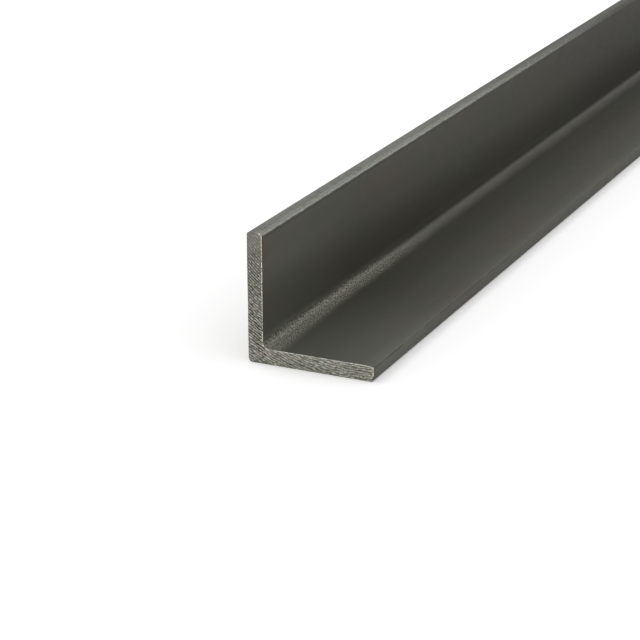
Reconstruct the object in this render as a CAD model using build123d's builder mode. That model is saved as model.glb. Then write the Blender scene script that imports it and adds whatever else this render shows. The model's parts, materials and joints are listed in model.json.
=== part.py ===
from build123d import *

import os

# Hot-rolled equal angle in structural steel, one piece, sawn square at both ends.
# It lies on the outer face of one leg, and the other leg stands up along -X.
# X runs across the lying leg, Y along the length, Z up. The origin is the
# centre of the bottom of the box that holds the angle. All sizes in millimetres.

leg_width = 50.0          # each leg, from the heel to its toe
leg_thickness = 6.0       # both legs
stock_length = 1000.0     # sawn length
root_radius = 2.0         # inner corner where the legs meet
heel_radius = 1.8         # outer corner where the legs meet
toe_outer_radius = 1.0    # rounding of each toe towards the outer faces
standing_toe_inner_radius = 1.7    # rounding of the standing toe towards the inner face
lying_toe_inner_radius = 0.6       # the lying toe is left sharper there

# Corners of the section before they are rounded, in the section's own plane:
# first coordinate across the lying leg, second coordinate up the standing leg.
heel_x = -leg_width / 2
toe_x = heel_x + leg_width
root_x = heel_x + leg_thickness

heel = (heel_x, 0)
root = (root_x, leg_thickness)
lying_toe_outer = (toe_x, 0)
lying_toe_inner = (toe_x, leg_thickness)
standing_toe_outer = (heel_x, leg_width)
standing_toe_inner = (root_x, leg_width)

rounded_corners = [
    (heel, heel_radius),
    (root, root_radius),
    (lying_toe_outer, toe_outer_radius),
    (standing_toe_outer, toe_outer_radius),
    (lying_toe_inner, lying_toe_inner_radius),
    (standing_toe_inner, standing_toe_inner_radius),
]

with BuildPart() as steel_angle:
    with BuildSketch(Plane.XZ) as section:
        with BuildLine():
            Polyline(
                heel,
                lying_toe_outer,
                lying_toe_inner,
                root,
                standing_toe_inner,
                standing_toe_outer,
                close=True,
            )
        make_face()
        for corner, radius in rounded_corners:
            fillet(section.vertices().sort_by_distance(corner)[0], radius)
    extrude(amount=stock_length / 2, both=True)

steel_angle.part.label = "steel_angle"

os.makedirs("parts", exist_ok=True)
export_step(steel_angle.part, "parts/steel_angle.step")
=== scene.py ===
import json
import math

import bmesh
import bpy
from mathutils import Matrix, Vector, noise
from mathutils.geometry import delaunay_2d_cdt


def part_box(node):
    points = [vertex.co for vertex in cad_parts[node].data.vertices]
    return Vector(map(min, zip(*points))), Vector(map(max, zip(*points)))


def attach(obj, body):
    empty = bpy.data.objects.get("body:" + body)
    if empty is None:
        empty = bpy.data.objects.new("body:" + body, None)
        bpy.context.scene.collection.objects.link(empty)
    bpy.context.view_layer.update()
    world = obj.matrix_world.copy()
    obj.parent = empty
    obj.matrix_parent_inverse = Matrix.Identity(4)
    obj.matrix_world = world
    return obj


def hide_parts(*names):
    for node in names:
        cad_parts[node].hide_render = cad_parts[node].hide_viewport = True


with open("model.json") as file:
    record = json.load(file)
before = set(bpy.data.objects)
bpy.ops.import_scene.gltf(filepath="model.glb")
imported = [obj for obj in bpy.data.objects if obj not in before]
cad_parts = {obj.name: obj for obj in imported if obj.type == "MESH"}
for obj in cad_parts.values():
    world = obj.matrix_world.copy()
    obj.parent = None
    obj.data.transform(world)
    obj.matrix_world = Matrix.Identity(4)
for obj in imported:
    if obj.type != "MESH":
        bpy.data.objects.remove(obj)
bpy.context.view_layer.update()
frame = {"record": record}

# ---------------------------------------------------------------- sizes, in metres

NODE = "steel_angle"
BODY = "root"
MM = 0.001

low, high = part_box(NODE)
mounts = {mount["name"]: Vector(mount["pos_m"]) for mount in frame["record"]["mounts"]}

leg = high.x - low.x
thickness = mounts["lying_leg_inner_face"].z
root = Vector((low.x + thickness, thickness))      # where the two inner faces meet

ROOT_RADIUS = 2.0 * MM
HEEL_RADIUS = 1.8 * MM
TOE_OUTER_RADIUS = 1.0 * MM
STANDING_TOE_RADIUS = 1.7 * MM      # towards the inner face
LYING_TOE_RADIUS = 0.6 * MM
TOE_FALL = 0.3 * MM                 # the lying leg's inner face falls this much to its toe
FALL_WIDTH = 5 * MM

# ---------------------------------------------------------------- the rolled section

ARC_STEPS = 24              # steps in each rounded corner, next to a sawn end
COARSER = 4                 # along the bar only every fourth point is kept
FINE_SPACING = 0.3 * MM     # between points on the flats, next to a sawn end

# Each rounded corner: centre, radius, first angle, and the way it turns (+1 round a
# convex corner, -1 round the hollow root).
CORNERS = (
    ((low.x + HEEL_RADIUS, HEEL_RADIUS), HEEL_RADIUS, 180, 1),
    ((high.x - TOE_OUTER_RADIUS, TOE_OUTER_RADIUS), TOE_OUTER_RADIUS, 270, 1),
    ((high.x - LYING_TOE_RADIUS, root.y - LYING_TOE_RADIUS), LYING_TOE_RADIUS, 0, 1),
    ((root.x + ROOT_RADIUS, root.y + ROOT_RADIUS), ROOT_RADIUS, 270, -1),
    ((root.x - STANDING_TOE_RADIUS, leg - STANDING_TOE_RADIUS), STANDING_TOE_RADIUS, 0, 1),
    ((low.x + TOE_OUTER_RADIUS, leg - TOE_OUTER_RADIUS), TOE_OUTER_RADIUS, 90, 1),
)


def fallen(point):
    """A point of the section, let down where the lying leg thins towards its toe."""
    part = max(0, point.x - high.x + FALL_WIDTH) / FALL_WIDTH
    return Vector((point.x, point.y - TOE_FALL * part * part * min(1, point.y / thickness)))


def section_outline(inset=0.0):
    """Round the section: points as (x, z), moved into the metal by inset, outward normals,
    and how far each point is round a convex corner, 1 in its middle and 0 on the flats."""
    arcs = []
    for centre, radius, first, turn in CORNERS:
        arc = []
        for step in range(ARC_STEPS + 1):
            part = step / ARC_STEPS
            angle = math.radians(first + turn * 90 * part)
            outward = Vector((math.cos(angle), math.sin(angle)))
            place = Vector(centre) + outward * (radius - turn * inset)
            arc.append((place, turn * outward, max(0, turn) * math.sin(math.pi * part)))
        arcs.append(arc)
    ring = []
    for arc, following in zip(arcs, arcs[1:] + arcs[:1]):
        ring += arc
        start, normal = arc[-1][:2]
        end = following[0][0]
        steps = COARSER * max(1, round((end - start).length / FINE_SPACING / COARSER))
        ring += [(start.lerp(end, step / steps), normal, 0.0) for step in range(1, steps)]
    return [(fallen(place), normal, edge) for place, normal, edge in ring]


# ---------------------------------------------------------------- what the saw left

# The disc stood above the lying leg, out beyond the standing one. Its marks are arcs
# round this centre.
BLADE_CENTRE = Vector((low.x + 0.88 * leg, 1.60 * leg))
BLADE_LEAVES = Vector((1, 0.9)).normalized()   # the way the rim moves out of the metal

CUT_BACK = 0.30 * MM        # the sawn face lies this far inside the highest burr
MARK_DEPTH = 0.07 * MM      # of the coarse marks, either way
MARK_PITCH = 0.60 * MM      # across the marks
MARK_LENGTH = 2.2 * MM      # along the marks
FINE_MARK_PITCH = MARK_PITCH / 2.3
FINE_MARK_LENGTH = MARK_LENGTH / 1.7
FINE_MARK_DEPTH = 0.5       # of the coarse marks
FINE_MARK_SEED = 9
BURR_HEIGHT = 0.24 * MM     # above the sawn face
LEAST_BURR = 0.38           # of it where it is thinnest
BURR_WIDTH = 0.25 * MM      # across the top of the lip
BURR_LEAN = 0.16 * MM       # out over the rolled face
BURR_LUMPS = 3.0 * MM       # along the edge
LUMPS_FINER = 5             # the lumps' own lumps are this much smaller
FINER_LUMPS = 0.6           # and this high beside them
EVEN_BURR = 0.55            # of the burr, before the lumps
UPPER_BURR = 0.3            # more of it on edges that look up
UPPER_BURR_WIDER = 0.4      # and wider there by this share
CORNER_BURR = 1.4           # how soon it starts round a corner
TOE_BURR = 0.30             # as much burr on the standing toe as on the inner edges
TOE_BURR_FROM = 0.6         # in from the outer face, in halves of the thickness
LYING_TOE_BURR = 0.55       # as much burr on the lying toe
THICK_BURRS = (             # where the saw left the most of it
    (root.x, leg - 2.5 * MM),
    (high.x - 0.5 * MM, thickness - 0.5 * MM),
    (root.x + 16 * MM, thickness),
)
EDGE_ROUNDING = 0.12 * MM   # where the blade entered

WAVE_DEPTH = 0.10 * MM      # hollows that the rolls left in the faces
WAVE_LENGTH = 60 * MM
WAVE_WIDTH = 14 * MM


def smooth(value):
    """0 below 0, 1 above 1, and an S curve between."""
    value = min(1.0, max(0.0, value))
    return value * value * (3 - 2 * value)


def saw_marks(point, seed):
    """Height of the blade's marks at a point of the section, about -1 to 1."""
    spoke = point - BLADE_CENTRE
    radius = spoke.length
    along = math.atan2(spoke.x, -spoke.y) * radius
    coarse = noise.noise(Vector((radius / MARK_PITCH, along / MARK_LENGTH, seed)))
    fine_place = (radius / FINE_MARK_PITCH, along / FINE_MARK_LENGTH, seed + FINE_MARK_SEED)
    return coarse + FINE_MARK_DEPTH * noise.noise(Vector(fine_place))


def burr_at(point, normal, seed):
    """How much burr hangs on the edge here, 0 to 1."""
    leaving = smooth(CORNER_BURR * normal.dot(BLADE_LEAVES))
    standing_toe = smooth((point.y - leg + STANDING_TOE_RADIUS) / STANDING_TOE_RADIUS * 2)
    lying_toe = smooth((point.x - high.x + TOE_OUTER_RADIUS) / TOE_OUTER_RADIUS * 2)
    toe_burr = TOE_BURR * smooth((point.x - low.x) / thickness * 2 - TOE_BURR_FROM)
    leaving *= 1 - (1 - toe_burr) * standing_toe - (1 - LYING_TOE_BURR) * lying_toe
    place = Vector((point.x, point.y, seed * MM)) / BURR_LUMPS
    lumps = noise.noise(place) + FINER_LUMPS * noise.noise(place * LUMPS_FINER)
    thick = sum(smooth(1 - 2 * (point - Vector(spot)).length / BURR_LUMPS) for spot in THICK_BURRS)
    even = EVEN_BURR + UPPER_BURR * smooth(normal.y)
    return leaving * min(1.0, max(LEAST_BURR, even + lumps) + thick)


def rolled_point(place, normal, y, lift):
    """A point of the rolled faces with its shallow hollow, lifted out, but not out of the box."""
    wave = Vector((place.x / WAVE_WIDTH, y / WAVE_LENGTH, place.y / WAVE_WIDTH))
    hollow = WAVE_DEPTH * (0.5 + 0.5 * noise.noise(wave))
    moved = place + normal * (lift - hollow)
    return Vector((min(high.x, max(low.x, moved.x)), min(high.z, max(low.z, moved.y))))


# ---------------------------------------------------------------- the mesh

LIP_RINGS = (0.0, 0.12 * MM, 0.3 * MM, 0.6 * MM)                  # fine rings at an end
NEXT_RINGS = (1.3 * MM, 2.5 * MM, 5 * MM)                         # then coarse ones
RING_SPACING = 10 * MM
CAP_INSETS = (0.1 * MM, 0.2 * MM, 0.32 * MM, 0.5 * MM)            # rows beside the edge
CAP_SPACING = 0.24 * MM

ROLLED, SAWN = 0, 1         # material slots
NEAR_SEED, FAR_SEED = 1.0, 5.0      # of the two sawn ends
INSIDE_ONLY = 1             # the triangles inside the sawn face's outline
SAME_POINT = 1e-7           # points closer than this are one
SHARP_EDGE = math.radians(50)


def inside_section(point, margin):
    """True if a point of the section lies at least margin inside its faces."""
    x, z = point.x - low.x, point.y
    in_lying = margin < z < thickness - margin and margin < x < leg - margin
    in_standing = margin < x < thickness - margin and margin < z < leg - margin
    return in_lying or in_standing


class AngleMesh:
    """The bar as one closed mesh, with its saw marks and burrs."""

    def __init__(self):
        self.points = []
        self.burr = []
        self.marks = []
        self.edges = []
        self.faces = []
        self.slots = []

    def point(self, place, y, burr=0.0, mark=0.0, edge=0.0):
        """Adds a point and gives its index back."""
        self.points.append((place.x, y, place.y))
        self.burr.append(burr)
        self.marks.append(mark)
        self.edges.append(edge)
        return len(self.points) - 1

    def face(self, corners, slot):
        self.faces.append(corners)
        self.slots.append(slot)

    def coarse_ring(self, y):
        """Every fourth point round the rolled faces."""
        return [
            self.point(rolled_point(place, normal, y, 0.0), y, edge=edge)
            for place, normal, edge in section_outline()[::COARSER]
        ]

    def lip_ring(self, end, inwards, lip, seed):
        """All points round the rolled faces, lip metres in from the end."""
        ring = []
        for place, normal, edge in section_outline():
            burr = burr_at(place, normal, seed)
            fade = smooth(1 - lip / LIP_RINGS[-1])
            rounding = EDGE_ROUNDING * (1 - burr) * smooth(1 - lip / LIP_RINGS[1])
            y = end + inwards * (CUT_BACK - BURR_HEIGHT * burr + lip)
            moved = rolled_point(place, normal, y, BURR_LEAN * burr * fade - rounding)
            ring.append(self.point(moved, y, burr * fade, edge=edge))
        return ring

    def bridge(self, first, second):
        """Faces between two rings, one of which may have more points than the other."""
        fine, coarse = sorted((first, second), key=len, reverse=True)
        ratio = len(fine) // len(coarse)
        for i, near in enumerate(coarse):
            after = coarse[(i + 1) % len(coarse)]
            run = [fine[(ratio * i + k) % len(fine)] for k in range(ratio + 1)]
            if ratio == 1:
                self.face((near, after, run[1], run[0]), ROLLED)
                continue
            half = ratio // 2
            for k in range(ratio):
                self.face((run[k], run[k + 1], near if k < half else after), ROLLED)
            self.face((run[half], after, near), ROLLED)

    def cap(self, edge, end, inwards, seed):
        """The sawn face inside a finished edge ring."""
        flat = [Vector((self.points[i][0], self.points[i][2])) for i in edge]
        rows = []
        for inset in CAP_INSETS:
            for place, normal, _ in section_outline(inset)[::2]:
                width = BURR_WIDTH * (1 + UPPER_BURR_WIDER * max(0, normal.y))
                lip = smooth(1 - inset / width)
                rows.append((place, burr_at(place, normal, seed) * lip))
        steps = int(leg / CAP_SPACING)
        for i in range(steps):
            for k in range(steps):
                shift = 0.5 * (k % 2)
                place = Vector((low.x + (i + shift) * CAP_SPACING, k * CAP_SPACING))
                if inside_section(place, CAP_INSETS[-1] + 0.5 * CAP_SPACING):
                    rows.append((fallen(place), 0.0))
        closed = [(i, (i + 1) % len(flat)) for i in range(len(flat))]
        spread = flat + [row[0] for row in rows]
        found = delaunay_2d_cdt(spread, closed, [], INSIDE_ONLY, SAME_POINT)
        places, triangles, origins = found[0], found[2], found[3]
        index = []
        for place, origin in zip(places, origins):
            if origin[0] < len(edge):
                index.append(edge[origin[0]])
                continue
            burr = rows[origin[0] - len(edge)][1]
            mark = saw_marks(place, seed)
            depth = CUT_BACK - BURR_HEIGHT * burr + MARK_DEPTH * mark
            index.append(self.point(place, end + inwards * depth, burr, mark))
        for triangle in triangles:
            self.face([index[i] for i in triangle], SAWN)

    def sawn_end(self, end, inwards, seed):
        """A sawn face and the rings next to it. Gives the innermost ring back."""
        rings = [self.lip_ring(end, inwards, lip, seed) for lip in LIP_RINGS]
        rings += [self.coarse_ring(end + inwards * depth) for depth in NEXT_RINGS]
        self.cap(rings[0], end, inwards, seed)
        for first, second in zip(rings, rings[1:]):
            self.bridge(first, second)
        return rings[-1]


def shape_angle():
    """The whole bar, from the near sawn end to the far one."""
    shape = AngleMesh()
    last = shape.sawn_end(low.y, 1, NEAR_SEED)
    far = shape.sawn_end(high.y, -1, FAR_SEED)
    count = round((high.y - low.y) / RING_SPACING)
    for step in range(1, count):
        ring = shape.coarse_ring(low.y + step * RING_SPACING)
        shape.bridge(last, ring)
        last = ring
    shape.bridge(last, far)
    return shape


def build_piece(name, shape, finishes):
    """An object from a shape, with its finishes and the numbers kept at its points."""
    data = bpy.data.meshes.new(name)
    data.from_pydata(shape.points, [], shape.faces)
    for finish in finishes:
        data.materials.append(finish)
    data.polygons.foreach_set("material_index", shape.slots)
    data.polygons.foreach_set("use_smooth", [True] * len(shape.faces))
    kept = {"burr": shape.burr, "mark": shape.marks, "edge": shape.edges}
    for label, values in kept.items():
        data.attributes.new(label, "FLOAT", "POINT").data.foreach_set("value", values)
    turned = bmesh.new()
    turned.from_mesh(data)
    bmesh.ops.recalc_face_normals(turned, faces=turned.faces)
    turned.to_mesh(data)
    turned.free()
    data.set_sharp_from_angle(angle=SHARP_EDGE)
    piece = bpy.data.objects.new(name, data)
    bpy.context.scene.collection.objects.link(piece)
    return piece


# ---------------------------------------------------------------- shader maths

NOISE_RANGE = (0.35, 0.65)          # most of a noise lies between these
MIX_FACTOR, MIX_FIRST, MIX_SECOND, MIX_RESULT = 0, 6, 7, 2      # a Mix node's colour sockets


class Value:
    """A number in a shader. Python's operators on it add Math nodes."""

    def __init__(self, shader, socket):
        self.shader, self.socket = shader, socket

    def _math(self, operation, first, second):
        return self.shader.node("ShaderNodeMath", {"operation": operation}, {0: first, 1: second})

    def __add__(self, other):
        return self._math("ADD", self, other)

    def __sub__(self, other):
        return self._math("SUBTRACT", self, other)

    def __rsub__(self, other):
        return self._math("SUBTRACT", other, self)

    def __mul__(self, other):
        return self._math("MULTIPLY", self, other)

    def __truediv__(self, other):
        return self._math("DIVIDE", self, other)

    def __pow__(self, other):
        return self._math("POWER", self, other)

    __radd__, __rmul__ = __add__, __mul__


class Shader:
    """A node tree being built."""

    def __init__(self, tree):
        self.tree = tree
        tree.nodes.clear()

    def node(self, kind, settings=None, inputs=None, output=0):
        """Adds a node, sets it, fills its inputs with numbers or links, gives an output back."""
        node = self.tree.nodes.new(kind)
        for name, value in (settings or {}).items():
            setattr(node, name, value)
        for name, value in (inputs or {}).items():
            if isinstance(value, Value):
                self.tree.links.new(value.socket, node.inputs[name])
            else:
                node.inputs[name].default_value = value
        return Value(self, node.outputs[output] if node.outputs else None)

    def place(self):
        """Where a point is on the bar, in metres."""
        return self.node("ShaderNodeTexCoord", output="Object")

    def split(self, vector):
        """The x, y and z of a vector."""
        parts = self.node("ShaderNodeSeparateXYZ", {}, {0: vector})
        return [Value(self, socket) for socket in parts.socket.node.outputs]

    def join(self, x, y, z):
        """A vector of three numbers."""
        return self.node("ShaderNodeCombineXYZ", {}, {0: x, 1: y, 2: z})

    def kept(self, name):
        """A number that the mesh keeps at its points."""
        return self.node("ShaderNodeAttribute", {"attribute_name": name}, output="Fac")

    def ramp(self, value, start, end):
        """0 where value is at start, 1 at end, smooth between."""
        return self.node(
            "ShaderNodeMapRange",
            {"interpolation_type": "SMOOTHSTEP"},
            {"Value": value, "From Min": start, "From Max": end},
        )

    def fade(self, value, start, end):
        """1 where value is at start, 0 at end, smooth between."""
        return 1 - self.ramp(value, start, end)

    def band(self, value, start, full, last, end):
        """0 up to start, 1 from full to last, and 0 again from end."""
        return self.ramp(value, start, full) * self.fade(value, last, end)

    def line(self, value, at, core, edge):
        """1 where value is within core of at, 0 where it is farther from it than edge."""
        return self.fade(self.size_of(value - at), core, edge)

    def size_of(self, value):
        """The number without its sign."""
        return self.node("ShaderNodeMath", {"operation": "ABSOLUTE"}, {0: value})

    def wave(self, value):
        """0 to 1 and back each time that value goes up by 1."""
        swing = self.node("ShaderNodeMath", {"operation": "COSINE"}, {0: math.tau * value})
        return 0.5 - 0.5 * swing

    def whole(self, value):
        """The number with its fraction dropped."""
        return self.node("ShaderNodeMath", {"operation": "FLOOR"}, {0: value})

    def blend(self, factor, first, second):
        """A colour between two colours."""
        inputs = {MIX_FACTOR: factor, MIX_FIRST: first, MIX_SECOND: second}
        return self.node("ShaderNodeMix", {"data_type": "RGBA"}, inputs, MIX_RESULT)

    def tint(self, factor, base, first, second):
        """A colour times a colour between two others."""
        between = self.blend(factor, first, second)
        settings = {"data_type": "RGBA", "blend_type": "MULTIPLY"}
        inputs = {MIX_FACTOR: 1.0, MIX_FIRST: base, MIX_SECOND: between}
        return self.node("ShaderNodeMix", settings, inputs, MIX_RESULT)

    def grain(self, place, size, detail=2.0, offset=0.0):
        """Noise of about 0.5, its features size metres long on each axis. The offset moves
        it, so that no two noises are alike."""
        scaled = self.node(
            "ShaderNodeVectorMath", {"operation": "MULTIPLY"}, {0: place, 1: [1 / s for s in size]}
        )
        moved = self.node(
            "ShaderNodeVectorMath", {"operation": "ADD"}, {0: scaled, 1: [offset] * 3}
        )
        return self.node(
            "ShaderNodeTexNoise", {}, {"Vector": moved, "Scale": 1.0, "Detail": detail}
        )


def new_finish(name):
    """An empty material and its shader."""
    material = bpy.data.materials.new(name)
    material.use_nodes = True
    return material, Shader(material.node_tree)


def colour(red, green, blue):
    """An opaque colour, as Blender's sockets take it."""
    return (red, green, blue, 1.0)


# ---------------------------------------------------------------- what both finishes share

# Brighter than bare steel really is, so that the burr shows painted glints.
GLINTING_BARE_STEEL = colour(0.95, 0.94, 0.90)
BARE_ROUGHNESS = 0.32
SHEEN = 0.435               # the plain shine of what isn't metal in a finish
GLINT_SIZE = (0.9 * MM, 0.9 * MM, 0.9 * MM)
LEAST_GLINT = 0.45
MORE_GLINT = 1.4            # in places
BARE_FROM = (0.12, 0.45)    # burr times glint, from scale to bare metal


def bare_burr_and_glints(shader, place):
    """1 where the burr shows bare metal, spotted to paint its glints, 0 elsewhere."""
    glint = shader.ramp(shader.grain(place, GLINT_SIZE, detail=1.0, offset=71.0), *NOISE_RANGE)
    return shader.ramp(shader.kept("burr") * (LEAST_GLINT + MORE_GLINT * glint), *BARE_FROM)


def close_finish(shader, base, roughness, metallic, height, distance):
    """Ends a finish with its surface, whose height is raised by up to distance."""
    normal = shader.node("ShaderNodeBump", {}, {"Height": height, "Distance": distance})
    surface = shader.node(
        "ShaderNodeBsdfPrincipled",
        {},
        {
            "Base Color": base,
            "Roughness": roughness,
            "Metallic": metallic,
            "Normal": normal,
            "Specular IOR Level": SHEEN,
        },
    )
    shader.node("ShaderNodeOutputMaterial", {}, {"Surface": surface})


# ---------------------------------------------------------------- mill scale

OLIVE_SCALE = colour(0.0640, 0.0675, 0.0500)
BROWN_SCALE = colour(0.0715, 0.0640, 0.0475)
# Thick scale, and also painted shade above the root and in its hollow.
THICK_SCALE_AND_SHADE = colour(0.040, 0.038, 0.026)
DEEP_SCALE = colour(0.022, 0.021, 0.014)        # thicker still
GREY_SCALE = colour(0.100, 0.102, 0.084)
HEATED_SCALE = colour(0.094, 0.072, 0.052)      # browned by the saw
# Worn, pale scale; also a painted highlight on the rounded edges.
WORN_SCALE_AND_HIGHLIGHT = colour(0.227, 0.236, 0.218)
# Painted highlight and rubbed scale on the standing toe's inner rounding.
TOE_HIGHLIGHT_AND_RUBBED = colour(0.360, 0.366, 0.322)
BURNT_TOE = colour(0.330, 0.300, 0.245)
# Painted shade under the standing toe, and a dark line on the lying toe's face.
TOE_SHADE_AND_LINE = colour(0.034, 0.027, 0.018)
# The root strip's colours: rough scale, and a painted highlight along the root's hollow.
ROUGH_STRIP_HIGHLIGHT = colour(0.303, 0.296, 0.246)
SMOOTH_STRIP_HIGHLIGHT = colour(0.300, 0.283, 0.255)
SCALE_METALLIC = 0.65
SCALE_ROUGHNESS = 0.48
MOTTLE_ROUGHNESS = 0.10     # more where the mottle is light
STRIP_METALLIC = 0.3
STRIP_ROUGHNESS = 0.75
SPECK_HEIGHT = 0.25         # of the relief
SCALE_RELIEF = 0.15 * MM

# How large the noises' features are across the bar, along it and upwards.
PATCH_SIZE = (16 * MM, 45 * MM, 16 * MM)
MOTTLE_SIZE = (4 * MM, 9 * MM, 4 * MM)
SPECK_SIZE = (0.5 * MM, 0.7 * MM, 0.5 * MM)
FLECK_SIZE = (0.9 * MM, 2.0 * MM, 0.9 * MM)
STREAK_SIZE = (1.6 * MM, 160 * MM, 1.6 * MM)
RAGGED_SIZE = (1.2 * MM, 2.5 * MM, 1.2 * MM)

FLECK_RANGE = (0.36, 0.64)
RAGGED_DEPTH = 0.9 * MM             # the lines along the standing toe wander this far
TOE_FROM = (-1.35 * MM, -0.85 * MM)     # up from the top of the standing leg
LYING_FROM = (0, MM)                # out from the root
TOE_INNER_PART = (2.5 * MM, 4 * MM)     # in from the standing leg's outer face
WEAR_EASES = (120 * MM, 320 * MM)   # from the nearer sawn end


class Bar:
    """Where a point of the rolled faces is, and what the parts of its finish share."""

    def __init__(self, shader):
        self.place = shader.place()
        self.x, self.y, self.z = shader.split(self.place)
        self.out = self.x - root.x      # from the root, along the lying leg
        self.up = self.z - root.y       # from the root, up the standing leg
        self.near = 0.5 * (high.y - low.y) - shader.size_of(self.y)     # the nearer sawn end
        self.patches = shader.grain(self.place, PATCH_SIZE, detail=3.0)
        self.mottle = shader.grain(self.place, MOTTLE_SIZE, detail=3.0, offset=7.0)
        self.flecks = shader.ramp(shader.grain(self.place, FLECK_SIZE, offset=81.0), *FLECK_RANGE)
        ragged = shader.grain(self.place, RAGGED_SIZE, detail=3.0, offset=91.0)
        self.from_top = self.z - leg + RAGGED_DEPTH * (ragged - 0.5)
        self.toe = shader.ramp(self.from_top, *TOE_FROM)
        self.toe_inner_part = shader.ramp(self.x - low.x, *TOE_INNER_PART)
        self.lying = shader.ramp(self.out, *LYING_FROM)
        self.middle = shader.ramp(self.near, *WEAR_EASES)


# Its pale colour is partly rough scale and partly a painted highlight along the root's hollow.
# The strip along the root. It is rough and pale near a sawn end, and smooth farther in.
# Ranges are out from the root, up from it, or from the nearer sawn end.
WANDER_SIZE = (7 * MM, 14 * MM, 7 * MM)
COMBED_SIZE = (0.45 * MM, 3.5 * MM, 0.45 * MM)
WANDER_DEPTH = 1.6 * MM             # of the strip's edges
ROUGH_TO = (70 * MM, 170 * MM)
WIDER = 0.35                        # as much wider at the end
WIDER_TO = (5 * MM, 60 * MM)
LYING_WIDER = 0.1                   # and a little more on the lying leg
STRIP_ON_LYING = (0.4 * MM, 6.9 * MM)
STRIP_ON_STANDING = (-0.5 * MM, 4.8 * MM)
STRIP_INSIDE = (-1.5 * MM, -0.8 * MM)
PALER_OUT = (0.2 * MM, 2.4 * MM)
LEAST_STRIP = 0.12                  # how pale on the standing leg
LEAST_ROUGH_STRIP = 0.58
MOST_STRIP = 1.15                   # and on the lying leg
HATCH_SIZE = (0.45 * MM, 1.4 * MM, MM)
HATCH_SLANT = math.radians(20)      # of the rough strip's marks, out of the bar's direction
HATCH_RANGE = (0.42, 0.58)
HATCH_CONTRAST = 3.5
HATCHED_WHERE = (0.15, 0.5)         # as pale
ROUGH_COVER = 0.42                  # the strip's own colour covers this much more
SMOOTH_COVER = 0.51
SMOOTH_COVER_LOST = 0.15            # towards the middle
COVER_LOST = (150 * MM, 280 * MM)
# Painted shade on the upper part of the root's hollow and just above it.
SHADE_ABOVE_STRIP = (0.4 * MM, 1.4 * MM, 2 * MM, 4 * MM)
SHADE_ABOVE_STRIP_FROM = (-MM, 0)
SHADE_ABOVE_STRIP_COVER = 0.75
ROUGH_GAP = 0.20                    # less beside the rough strip
HATCH_GAP = 0.50                    # and less where it is hatched


def root_strip_and_highlight(shader, bar):
    """How pale the strip is, 0 to about 1, partly as a painted highlight, and how far it is
    roughened, 0 to 1.
    """
    wander = WANDER_DEPTH * (shader.grain(bar.place, WANDER_SIZE, detail=1.0, offset=21.0) - 0.5)
    combed = WANDER_DEPTH * (shader.grain(bar.place, COMBED_SIZE, detail=1.0, offset=61.0) - 0.5)
    rough = shader.fade(bar.near, *ROUGH_TO)
    wide = 1 + WIDER * shader.fade(bar.near, *WIDER_TO)
    on_lying = shader.fade((bar.out + wander) / (wide + LYING_WIDER), *STRIP_ON_LYING)
    on_standing = shader.fade((bar.up + wander + combed) / wide, *STRIP_ON_STANDING)
    inside = shader.ramp(bar.out, *STRIP_INSIDE) * shader.ramp(bar.up, *STRIP_INSIDE)
    least = LEAST_STRIP + (LEAST_ROUGH_STRIP - LEAST_STRIP) * rough
    pale = least + (MOST_STRIP - least) * shader.ramp(bar.out, *PALER_OUT)
    return on_lying * on_standing * inside * pale, rough


def strip_pits(shader, bar):
    """The rough strip's fine marks, drawn out at a slant to the bar."""
    round_root = bar.z - bar.x
    along = bar.y * math.cos(HATCH_SLANT) + round_root * math.sin(HATCH_SLANT)
    across = round_root * math.cos(HATCH_SLANT) - bar.y * math.sin(HATCH_SLANT)
    return shader.grain(shader.join(across, along, 0.0), HATCH_SIZE, detail=3.0, offset=11.0)


def strip_highlight_cover(shader, bar, strip, rough, hatch):
    """How much of the strip's colour, partly a painted highlight, covers the scale."""
    plain = SMOOTH_COVER - SMOOTH_COVER_LOST * shader.ramp(bar.near, *COVER_LOST)
    hatched = HATCH_CONTRAST * shader.ramp(strip, *HATCHED_WHERE) * (hatch - 0.5)
    return strip * (plain + rough * (ROUGH_COVER + hatched))


def painted_shade_above_strip(shader, bar, rough, hatch):
    """Painted shade on the upper part of the root's hollow and just above it, in the thick scale's
    colour.
    """
    where = shader.band(bar.up, *SHADE_ABOVE_STRIP) * shader.ramp(bar.out, *SHADE_ABOVE_STRIP_FROM)
    return where * (SHADE_ABOVE_STRIP_COVER - rough * (ROUGH_GAP + HATCH_GAP * hatch))


# Thick, dark scale, and a band of painted shade above the root.
PATCHED = (0.1, 0.5)                        # where the patches are thick
SHADE_BAND_UP = (8 * MM, 12 * MM, 18 * MM, 32 * MM)      # up the standing leg's inner face
INNER_FACE_FROM = (-MM, -0.3 * MM)          # out from the root
LESS_SHADE_BAND_TO = (10 * MM, 80 * MM)          # from the nearer end
SHADE_BAND_AT_END = 0.5                          # of what it is farther in
SHADE_BAND_COVER = 0.62
STREAK_RANGE = (0.3, 0.7)
STREAK_COVER = 0.16
EVEN_COVER = 0.08
OUTWARDS = (26 * MM, 50 * MM)               # from the heel, up or along a leg
OUTER_COVER = 0.75
LYING_OUTER_LESS = 0.5                      # on the lying leg
FARTHER = (270 * MM, 420 * MM)              # from the nearer end
DEEP_COVER = 0.48
DEEP_TOE_COVER = 0.78


def shade_band_and_thick_scale(shader, bar):
    """Painted shade in a band above the root, and thin streaks of thick scale along the whole bar.
    """
    band = shader.band(bar.z, *SHADE_BAND_UP) * shader.ramp(bar.out, *INNER_FACE_FROM)
    band = band * shader.ramp(bar.patches, *PATCHED)
    more = (1 - SHADE_BAND_AT_END) * shader.ramp(bar.near, *LESS_SHADE_BAND_TO)
    streaks = shader.ramp(shader.grain(bar.place, STREAK_SIZE, offset=41.0), *STREAK_RANGE)
    return SHADE_BAND_COVER * band * (SHADE_BAND_AT_END + more) + STREAK_COVER * (streaks - 0.5) + EVEN_COVER


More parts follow.
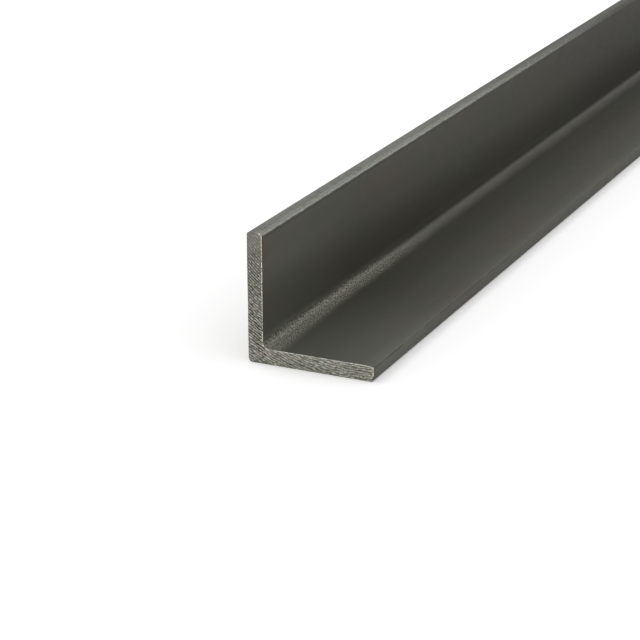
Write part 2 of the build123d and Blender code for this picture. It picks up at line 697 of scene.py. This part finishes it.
def outer_scale(shader, bar):
    """Thicker scale away from the root in the middle of the bar, less on the lying leg."""
    outwards = shader.ramp(bar.z + bar.x - low.x, *OUTWARDS)
    return OUTER_COVER * bar.middle * outwards * (1 - LYING_OUTER_LESS * bar.lying)


def deep_scale(shader, bar):
    """The thickest scale, on the standing leg around the middle of the bar."""
    farther = shader.ramp(bar.near, *FARTHER)
    on_toe = DEEP_TOE_COVER * farther * bar.toe_inner_part
    return farther * (1 - bar.lying) * (DEEP_COVER - bar.toe * (DEEP_COVER - on_toe))


# Scale that is dulled, or browned by the saw's heat.
DULLED_TO = (0, 90 * MM)                    # from the nearer end
DULL_STANDING = 0.45
DULL_LYING = 0.90
BESIDE_STRIP = (5 * MM, 18 * MM)            # out from the root
BESIDE_STRIP_FROM = (30 * MM, 120 * MM)     # from the nearer end
BESIDE_STRIP_COVER = 0.45
PALE_OUT = (14 * MM, 24 * MM)               # out from the root
PALE_UP = (13 * MM, 22 * MM)                # up from the floor
CLOUD_UP = (26 * MM, 35 * MM, 36 * MM, 44 * MM)
CLOUD_TO = (30 * MM, 90 * MM)               # from the nearer end
CLOUD_COVER = 0.08
PALE_COVER = 0.10
HEATED_TO = (MM, 9 * MM)                    # from the nearer end
HEATED_UP = (12 * MM, 24 * MM)              # up from the floor
HEATED_MOTTLE = (0.3, 0.6)
LYING_TOE_FROM = (-0.8 * MM, -0.3 * MM)     # out from the toe's face
LYING_TOE_HEATED_TO = (MM, 5 * MM)


def dulled_near_end(shader, bar):
    """1 where the scale beside a sawn end is dull, 0 elsewhere."""
    return shader.fade(bar.near, *DULLED_TO) * shader.ramp(bar.patches, *PATCHED)


def grey_beside_strip(shader, bar):
    """Greyer scale on the lying leg, beside the strip."""
    where = bar.lying * shader.fade(bar.out, *BESIDE_STRIP)
    return BESIDE_STRIP_COVER * where * shader.ramp(bar.near, *BESIDE_STRIP_FROM)


def pale_near_end(shader, bar, dulled):
    """The palest dull scale: beside the root, and a cloud high on the standing leg."""
    standing = 1 - bar.lying
    beside_root = bar.lying * shader.fade(bar.out, *PALE_OUT)
    beside_root = beside_root + standing * shader.fade(bar.z, *PALE_UP)
    cloud = standing * shader.band(bar.z, *CLOUD_UP) * shader.fade(bar.near, *CLOUD_TO)
    return PALE_COVER * dulled * beside_root + CLOUD_COVER * cloud


def heated_near_end(shader, bar):
    """Scale that the saw's heat browned, on the standing leg and the lying toe."""
    standing = shader.fade(bar.near, *HEATED_TO) * shader.ramp(bar.mottle, *HEATED_MOTTLE)
    standing = standing * (1 - bar.lying) * shader.ramp(bar.z, *HEATED_UP)
    lying_toe = shader.ramp(bar.x - high.x, *LYING_TOE_FROM)
    return standing + lying_toe * shader.fade(bar.near, *LYING_TOE_HEATED_TO)


# Wear, painted highlights and painted shade, and lines at the toes.
LYING_WORN_FROM = (-9 * MM, 0)              # out from the toe's face
LYING_WORN = 0.06
INNER_SIDE_UP = (-0.8 * MM, -0.3 * MM)      # up from the lying leg's inner face
TOE_WORN = 0.38
TOE_WORN_LESS = 0.36                        # in the middle of the bar
TOE_KEPT_WORN = 0.28                        # of that on the toe's inner part
# Painted highlight, with some wear, along the middle of each rounded edge.
EDGE_HIGHLIGHT = 0.10
TOE_EDGE_HIGHLIGHT = 0.78                        # more on the standing toe
TOE_EDGE_HIGHLIGHT_LESS = 0.54                   # in the middle of the bar
LEAST_WEAR = 0.45
MOTTLED_WEAR = 0.4
MOTTLED = (0.3, 0.7)
FLECKED_WEAR = 0.7
# Painted highlight, with rubbed flecks, along the standing toe's inner rounding.
TOE_HIGHLIGHT_AT = -0.88 * MM                      # up from the top of the standing leg
TOE_HIGHLIGHT_WIDTH = (0.1 * MM, 0.45 * MM)
TOE_HIGHLIGHT_FROM = (-1.2 * MM, -0.6 * MM)        # out from the root
TOE_HIGHLIGHT_LESS = 0.8                           # in the middle of the bar
TOE_HIGHLIGHT_COVER = 0.51
TOE_HIGHLIGHT_FLECKS = 0.34
BURNT_TO = (MM, 7 * MM)                     # from the nearer end
BURNT_FROM = (-4 * MM, -MM)                 # out from the root
BURNT_COVER = 0.4
# Painted shade just under the standing toe's inner rounding.
TOE_SHADE_AT = -STANDING_TOE_RADIUS - 0.3 * MM     # up from the top of the standing leg
TOE_SHADE_WIDTH = (0.1 * MM, 0.6 * MM)
# A dark line along the lying toe's face, just under its rounding.
TOE_FACE_LINE_AT = thickness - TOE_FALL - LYING_TOE_RADIUS - 0.1 * MM     # up from the floor
TOE_FACE_LINE_WIDTH = (0.1 * MM, 0.5 * MM)
TOE_FACE_LINE_FROM = (-0.5 * MM, -0.2 * MM)           # out from the lying toe's face
TOE_FACE_LINE_FADES = (100 * MM, 180 * MM)           # from the nearer end
TOE_FACE_LINE_FADED = 0.8
TOE_FACE_LINE_MOTTLE = (0.35, 0.6)
DARK_LINE_COVER = 0.65


def worn_toes_and_edge_highlights(shader, bar):
    """Wear of the lying leg towards its toe and of the standing toe, and wear with a painted
    highlight along all rounded edges.
    """
    towards_toe = shader.ramp(bar.x - high.x, *LYING_WORN_FROM)
    lying = LYING_WORN * towards_toe * towards_toe * shader.ramp(bar.up, *INNER_SIDE_UP)
    less = bar.middle * (TOE_WORN_LESS - TOE_KEPT_WORN * bar.toe_inner_part)
    standing = bar.toe * (TOE_WORN - less)
    more = bar.toe * (TOE_EDGE_HIGHLIGHT - TOE_EDGE_HIGHLIGHT_LESS * bar.middle)
    # painted highlight and wear along the middle of the rounded edges
    edges = shader.kept("edge") * (EDGE_HIGHLIGHT + more)
    uneven = LEAST_WEAR + MOTTLED_WEAR * shader.ramp(bar.mottle, *MOTTLED)
    return (lying + standing + edges) * (uneven + FLECKED_WEAR * bar.flecks)


def toe_highlight_and_rubbing(shader, bar):
    """A painted highlight, with flecks of rubbed scale, along the inner rounding of the standing
    toe.
    """
    where = shader.line(bar.from_top, TOE_HIGHLIGHT_AT, *TOE_HIGHLIGHT_WIDTH)
    where = where * shader.ramp(bar.out, *TOE_HIGHLIGHT_FROM) * (1 - TOE_HIGHLIGHT_LESS * bar.middle)
    return where * (TOE_HIGHLIGHT_COVER + TOE_HIGHLIGHT_FLECKS * bar.flecks)


def burnt_toe(shader, bar):
    """The standing toe's tint beside a sawn end."""
    near_end = shader.fade(bar.near, *BURNT_TO)
    return BURNT_COVER * bar.toe * near_end * shader.ramp(bar.out, *BURNT_FROM)


def dark_lines(shader, bar):
    """Painted shade just under the standing toe's inner rounding, and a dark line along the lying
    toe's face, under its rounding.
    """
    # painted shade just under the standing toe's rounding
    groove = shader.line(bar.from_top, TOE_SHADE_AT, *TOE_SHADE_WIDTH)
    groove = groove * shader.ramp(bar.out, *INNER_FACE_FROM)
    # a dark line along the lying toe's face, just under its rounding
    toe_face_line = shader.line(bar.z, TOE_FACE_LINE_AT, *TOE_FACE_LINE_WIDTH) * shader.ramp(bar.x - high.x, *TOE_FACE_LINE_FROM)
    toe_face_line = toe_face_line * (1 - TOE_FACE_LINE_FADED * shader.ramp(bar.near, *TOE_FACE_LINE_FADES))
    return DARK_LINE_COVER * (groove + toe_face_line * shader.ramp(bar.mottle, *TOE_FACE_LINE_MOTTLE))


def mill_scale():
    """The finish of the rolled faces, one layer of colour over another."""
    material, shader = new_finish("mill_scale")
    bar = Bar(shader)
    strip, rough_strip = root_strip_and_highlight(shader, bar)
    pits = strip_pits(shader, bar)
    hatch = shader.ramp(pits, *HATCH_RANGE)
    strip_highlight_colour = shader.blend(rough_strip, SMOOTH_STRIP_HIGHLIGHT, ROUGH_STRIP_HIGHLIGHT)
    dulled = dulled_near_end(shader, bar)
    bare = bare_burr_and_glints(shader, bar.place)
    layers = (
        (shade_band_and_thick_scale(shader, bar), THICK_SCALE_AND_SHADE),
        (outer_scale(shader, bar), THICK_SCALE_AND_SHADE),
        (grey_beside_strip(shader, bar), GREY_SCALE),
        (dulled * (DULL_STANDING + (DULL_LYING - DULL_STANDING) * bar.lying), GREY_SCALE),
        (pale_near_end(shader, bar, dulled), WORN_SCALE_AND_HIGHLIGHT),
        (heated_near_end(shader, bar), HEATED_SCALE),
        (worn_toes_and_edge_highlights(shader, bar), WORN_SCALE_AND_HIGHLIGHT),
        (toe_highlight_and_rubbing(shader, bar), TOE_HIGHLIGHT_AND_RUBBED),
        (burnt_toe(shader, bar), BURNT_TOE),
        (dark_lines(shader, bar), TOE_SHADE_AND_LINE),
        (strip_highlight_cover(shader, bar, strip, rough_strip, hatch), strip_highlight_colour),
        (painted_shade_above_strip(shader, bar, rough_strip, hatch), THICK_SCALE_AND_SHADE),
        (deep_scale(shader, bar), DEEP_SCALE),
        (bare, GLINTING_BARE_STEEL),
    )
    base = shader.blend(shader.ramp(bar.patches, *NOISE_RANGE), OLIVE_SCALE, BROWN_SCALE)
    for cover, layer in layers:
        base = shader.blend(cover, base, layer)
    roughness = SCALE_ROUGHNESS + MOTTLE_ROUGHNESS * bar.mottle
    roughness = roughness + strip * (STRIP_ROUGHNESS - roughness)
    roughness = roughness + bare * (BARE_ROUGHNESS - roughness)
    metallic = SCALE_METALLIC + strip * (STRIP_METALLIC - SCALE_METALLIC)
    metallic = metallic + bare * (1 - metallic)
    speck = shader.grain(bar.place, SPECK_SIZE, offset=3.0)
    height = SPECK_HEIGHT * speck + strip * rough_strip * pits
    close_finish(shader, base, roughness, metallic, height, SCALE_RELIEF)
    return material


# ---------------------------------------------------------------- sawn steel

# The saw marks' painted shade and painted light lie between these two colours, with the cut's own
# streaks.
SAWN_DARK = colour(0.020, 0.019, 0.013)
SAWN_LIGHT = colour(0.44, 0.435, 0.382)
COOL_TINT = colour(0.96, 1.00, 0.94)
WARM_TINT = colour(1.00, 0.96, 0.96)
SAWN_ROUGHNESS = 0.45
SAWN_RELIEF = 0.08 * MM

GROOVE_PITCH = 0.94 * MM    # across the fine marks of the saw
GROOVE_RUN = 0.6 * MM       # along them, before they break
NEW_RUN = 7.3               # in runs, from one groove to the next
NEW_DEPTH = (3.71, 0.37)    # the same, in the noise that gives their depth

# How large the noises' features are: across the marks, along them and into the metal.
JOG_SIZE = (1.0 * MM, 2.0 * MM, 50 * MM)
FINE_SIZE = (0.20 * MM, 0.8 * MM, 50 * MM)
SCRATCH_SIZE = (0.07 * MM, 5 * MM, 50 * MM)

# And of those that don't follow the marks: across the bar, along it and upwards.
SAWN_PATCH_SIZE = (2.5 * MM, 50 * MM, 2.5 * MM)
TINT_SIZE = (3 * MM, 50 * MM, 3 * MM)

JOG = 1.5                   # of a pitch, to and fro
LESS_JOG = 0.8              # less of it high on the standing leg
LESS_JOG_UP = (0.45 * leg, 0.70 * leg)
LEAST_DEPTH = 0.45          # of a groove
MORE_DEPTH = 0.9
GROOVE_SHAPE = (0.1, 0.9)
GROOVE_MEAN = 0.45
FINE_MARKS = 0.65           # as deep as the grooves
FINE_MARKS_LESS = 0.15      # less of them on the standing leg, but not low on it
STANDING_OUT = (thickness, 1.6 * thickness)     # in from the outer face
DEEPER_UP = (0.28 * leg, 0.52 * leg)            # up from the floor
HIGHER_DARKER_UP = (0.45 * leg, 0.60 * leg)
SMOOTHER_UP = (0.80 * leg, 0.92 * leg)
HEEL_UP = (thickness, 1.5 * thickness)
CONTRAST = 0.225            # of the marks
STANDING_CONTRAST = -0.04
DEEPER_CONTRAST = 0.125
PATCHY_CONTRAST = 0.13
SMOOTHER = 0.6              # of the contrast is lost near the standing toe
SAWN_TONE = 0.56            # 0 is SAWN_DARK and 1 is SAWN_LIGHT
STANDING_DARKER = 0.14
HEEL_DARKER = 0.04
HIGHER_DARKER = 0.05


def sawn_steel():
    """The finish of the sawn ends: arcs round the blade's centre, broken into short strokes."""
    material, shader = new_finish("sawn_steel")
    place = shader.place()
    x, y, z = shader.split(place)
    across = x - BLADE_CENTRE.x
    down = BLADE_CENTRE.y - z
    radius = (across * across + down * down) ** 0.5
    turn = shader.node("ShaderNodeMath", {"operation": "ARCTAN2"}, {0: across, 1: down})
    arc = shader.join(radius, turn * leg, y)

    standing = shader.fade(x - low.x, *STANDING_OUT)
    smoother = shader.ramp(z, *SMOOTHER_UP)
    deeper = standing * shader.fade(z, *DEEPER_UP)
    # Darker from about halfway up the standing leg until near its toe.
    higher_darker = shader.ramp(z, *HIGHER_DARKER_UP) * (1 - smoother)
    heel = shader.fade(z, *HEEL_UP)

    jog = shader.grain(arc, JOG_SIZE, detail=1.0, offset=5.0)
    phase = radius / GROOVE_PITCH + (JOG - LESS_JOG * shader.ramp(z, *LESS_JOG_UP)) * jog
    groove = shader.whole(phase)
    along = turn * leg / GROOVE_RUN + NEW_RUN * groove
    run = shader.join(NEW_DEPTH[0] * groove, along, NEW_DEPTH[1] * groove)
    deep = shader.ramp(shader.grain(run, (1, 1, 1), detail=1.0), *NOISE_RANGE)
    grooves = shader.ramp(shader.wave(phase), *GROOVE_SHAPE) * (LEAST_DEPTH + MORE_DEPTH * deep)
    fine = shader.grain(arc, FINE_SIZE, detail=1.0, offset=15.0)
    scratches = shader.grain(arc, SCRATCH_SIZE, detail=1.0, offset=35.0)
    fine_marks = FINE_MARKS - FINE_MARKS_LESS * (standing - deeper)
    marks = grooves - GROOVE_MEAN + fine - 0.5 + fine_marks * (fine + scratches - 1)

    patches = shader.ramp(shader.grain(place, SAWN_PATCH_SIZE, offset=31.0), *NOISE_RANGE)
    contrast = CONTRAST + STANDING_CONTRAST * standing + DEEPER_CONTRAST * deeper
    contrast = (contrast + PATCHY_CONTRAST * patches) * (1 - SMOOTHER * smoother)
    darker = STANDING_DARKER - (STANDING_DARKER - HEEL_DARKER) * heel + HIGHER_DARKER * higher_darker
    # The marks' colour follows their relief: painted shade in the grooves, painted light on the
    # ridges, with the cut's own streaks.
    tone = SAWN_TONE - standing * darker + 2 * contrast * marks

    tints = shader.ramp(shader.grain(place, TINT_SIZE, offset=51.0), *NOISE_RANGE)
    bare = bare_burr_and_glints(shader, place)
    base = shader.blend(tone, SAWN_DARK, SAWN_LIGHT)
    base = shader.tint(tints, base, COOL_TINT, WARM_TINT)
    # Bare burr metal, in a colour bright enough to paint its glints.
    base = shader.blend(bare, base, GLINTING_BARE_STEEL)
    roughness = SAWN_ROUGHNESS + bare * (BARE_ROUGHNESS - SAWN_ROUGHNESS)
    close_finish(shader, base, roughness, 1.0, tone, SAWN_RELIEF)
    return material


# ---------------------------------------------------------------- floor, light, camera

FLOOR_SIZE = 60.0
FLOOR_GLOW = 0.17           # lifts what the camera sees of the floor to white
FLOOR_BOUNCE = 0.18         # of the light on the floor comes back onto the bar
AMBIENT = 0.80              # of the world's white lights the bar
OVERHEAD_POWER = 15.4       # watts
OVERHEAD_SIZE = 1.9         # metres, as are the places
OVERHEAD_PLACE = (-1.93, -0.3, 2.24)
OVERHEAD_AIM = (0, -0.3, 0)
WHITE = colour(1, 1, 1)
BLACK = colour(0, 0, 0)
GLOW = colour(FLOOR_GLOW, FLOOR_GLOW, FLOOR_GLOW)
BOUNCE = colour(FLOOR_BOUNCE, FLOOR_BOUNCE, FLOOR_BOUNCE)


def seen_directly(shader):
    """1 for rays from the camera and for the reflections that show in metal, else 0."""
    rays = shader.node("ShaderNodeLightPath").socket.node.outputs
    total = Value(shader, rays["Is Camera Ray"])
    for kind in ("Is Glossy Ray", "Is Transmission Ray"):
        total = total + Value(shader, rays[kind])
    return shader.node("ShaderNodeClamp", {}, {0: total})


def make_floor():
    """A white floor that keeps the bar's shadow."""
    half = FLOOR_SIZE / 2
    corners = [(-half, -half, 0), (half, -half, 0), (half, half, 0), (-half, half, 0)]
    data = bpy.data.meshes.new("floor")
    data.from_pydata(corners, [], [range(len(corners))])
    material, shader = new_finish("floor_white")
    seen = seen_directly(shader)
    lit = shader.node("ShaderNodeBsdfDiffuse", {}, {"Color": shader.blend(seen, BOUNCE, WHITE)})
    glow = shader.node("ShaderNodeEmission", {}, {"Color": shader.blend(seen, BLACK, GLOW)})
    both = shader.node("ShaderNodeAddShader", {}, {0: lit, 1: glow})
    shader.node("ShaderNodeOutputMaterial", {}, {"Surface": both})
    data.materials.append(material)
    floor = bpy.data.objects.new("floor", data)
    bpy.context.scene.collection.objects.link(floor)


def light_world():
    """White to look at, and a little dimmer as a light."""
    world = bpy.data.worlds.new("studio")
    bpy.context.scene.world = world
    world.use_nodes = True
    shader = Shader(world.node_tree)
    strength = AMBIENT + (1 - AMBIENT) * seen_directly(shader)
    sky = shader.node("ShaderNodeBackground", {}, {"Color": WHITE, "Strength": strength})
    shader.node("ShaderNodeOutputWorld", {}, {"Surface": sky})


def add_softbox(name, place, aim, size, power):
    """A square lamp that faces the point it aims at."""
    data = bpy.data.lights.new(name, "AREA")
    data.shape = "SQUARE"
    data.size = size
    data.energy = power
    light = bpy.data.objects.new(name, data)
    light.location = place
    light.rotation_euler = (Vector(aim) - Vector(place)).to_track_quat("-Z", "Y").to_euler()
    bpy.context.scene.collection.objects.link(light)


VIEW_AZIMUTH = 25.207       # degrees
VIEW_ELEVATION = 20.315
VIEW_ROLL = -0.271
LENS = 122.2                # mm, as is the sensor
SENSOR = 36.0
FARTHEST_SEEN = 200.0
HEEL_FROM_CAMERA = Vector((-0.02636, -0.01526, -0.7970))


def add_camera():
    """A long lens that looks along the bar from above its near end."""
    data = bpy.data.cameras.new("camera")
    data.lens = LENS
    data.sensor_width = SENSOR
    data.clip_end = FARTHEST_SEEN
    camera = bpy.data.objects.new("camera", data)
    turn = (
        Matrix.Rotation(math.radians(VIEW_AZIMUTH), 3, "Z")
        @ Matrix.Rotation(math.radians(90 - VIEW_ELEVATION), 3, "X")
        @ Matrix.Rotation(math.radians(VIEW_ROLL), 3, "Z")
    )
    near_heel = Vector((low.x, low.y, low.z))
    camera.matrix_world = Matrix.Translation(near_heel - turn @ HEEL_FROM_CAMERA) @ turn.to_4x4()
    bpy.context.scene.collection.objects.link(camera)
    bpy.context.scene.camera = camera


# ---------------------------------------------------------------- the scene

bpy.context.scene.view_settings.view_transform = "Standard"
add_camera()
light_world()
make_floor()
add_softbox("overhead", OVERHEAD_PLACE, OVERHEAD_AIM, OVERHEAD_SIZE, OVERHEAD_POWER)

angle = build_piece("rolled_angle", shape_angle(), [mill_scale(), sawn_steel()])
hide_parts(NODE)
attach(angle, BODY)
